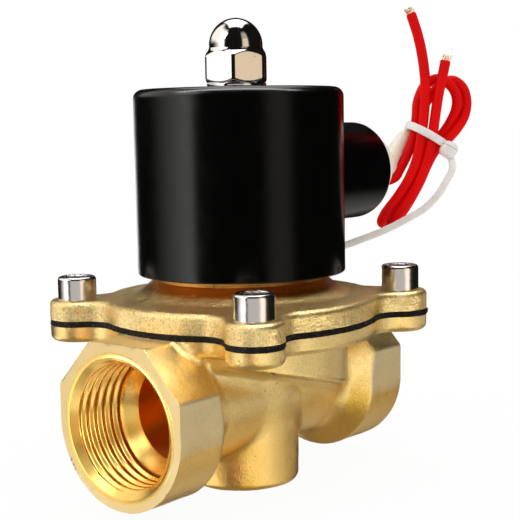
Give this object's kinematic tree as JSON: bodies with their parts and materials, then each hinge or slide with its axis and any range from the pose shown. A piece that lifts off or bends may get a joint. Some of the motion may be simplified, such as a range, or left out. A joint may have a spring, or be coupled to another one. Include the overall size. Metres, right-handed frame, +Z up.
{
  "type": "solenoid valve",
  "caption": "Two-way diaphragm solenoid valve: brass body with threaded ports, bolted cover, round black coil with bundled leads and an acorn nut.",
  "frame": {"origin": "centre of the flat underside of the bottom boss, on the guide tube's axis", "axes": "+Z up along the guide tube towards the acorn nut, +X along the ports towards the inlet and the side the coil's leads leave, -X towards the outlet"},
  "size_m": [0.1397, 0.0786, 0.1341],
  "materials": {
    "cast_brass": "cast and bead-blasted, fine grain, satin",
    "turned_brass": "machined, bright",
    "black_rubber": "moulded, matt with a fine weave",
    "spring_steel": "drawn wire",
    "stainless": "ground",
    "nickel_plate": "bright nickel plate",
    "black_enamel": "glossy baked enamel",
    "yellow_zinc": "yellow zinc passivated",
    "natural_nylon": "natural, slightly translucent",
    "copper": "bare copper",
    "polyester_tape": "smooth film",
    "milky_silicone": "milky, translucent",
    "red_silicone": "extruded silicone, satin"
  },
  "bodies": {
    "base": {"valve_body": "cast_brass", "cover": "cast_brass", "diaphragm": "black_rubber", "diaphragm_spring": "spring_steel", "plunger_spring": "spring_steel", "guide_tube": "stainless", "tube_o_ring": "black_rubber", "tube_retaining_nut": "turned_brass", "fixed_core": "stainless", "shading_ring": "copper", "top_washer": "nickel_plate", "acorn_nut": "nickel_plate", "cover_screw_1": "nickel_plate", "cover_screw_2": "nickel_plate", "cover_screw_3": "nickel_plate", "cover_screw_4": "nickel_plate"},
    "coil_assembly": {"coil_can": "black_enamel", "yoke_plate": "yellow_zinc", "bobbin": "natural_nylon", "winding": "copper", "winding_tape": "polyester_tape", "lead_outlet_sleeve": "black_enamel", "lead_plug": "milky_silicone", "lead_tube": "milky_silicone", "lead_wire_a": "red_silicone", "lead_wire_b": "red_silicone", "lead_conductor_a": "copper", "lead_conductor_b": "copper", "cable_tie": "natural_nylon"},
    "plunger_group": {"plunger": "stainless", "plunger_seal": "black_rubber"},
    "diaphragm_group": {"diaphragm_upper_disc": "turned_brass", "diaphragm_lower_disc": "turned_brass", "pilot_seat": "turned_brass", "lift_snap_ring": "spring_steel"}
  },
  "joints": [
    {"name": "plunger_lift", "type": "slide", "parent": "base", "child": "plunger_group", "axis": [0, 0, 1], "range_m": [0, 0.0055], "deforming": ["plunger_spring"]},
    {"name": "diaphragm_lift", "type": "slide", "parent": "base", "child": "diaphragm_group", "axis": [0, 0, 1], "range_m": [0, 0.004], "deforming": ["diaphragm_spring", "diaphragm"]},
    {"name": "coil_swivel", "type": "hinge", "parent": "base", "child": "coil_assembly", "pos_m": [0, 0, 0.08], "axis": [0, 0, 1], "continuous": true}
  ],
  "couplings": [
    {"joint": "diaphragm_lift", "follows": "plunger_lift", "ratio": 0.72}
  ]
}
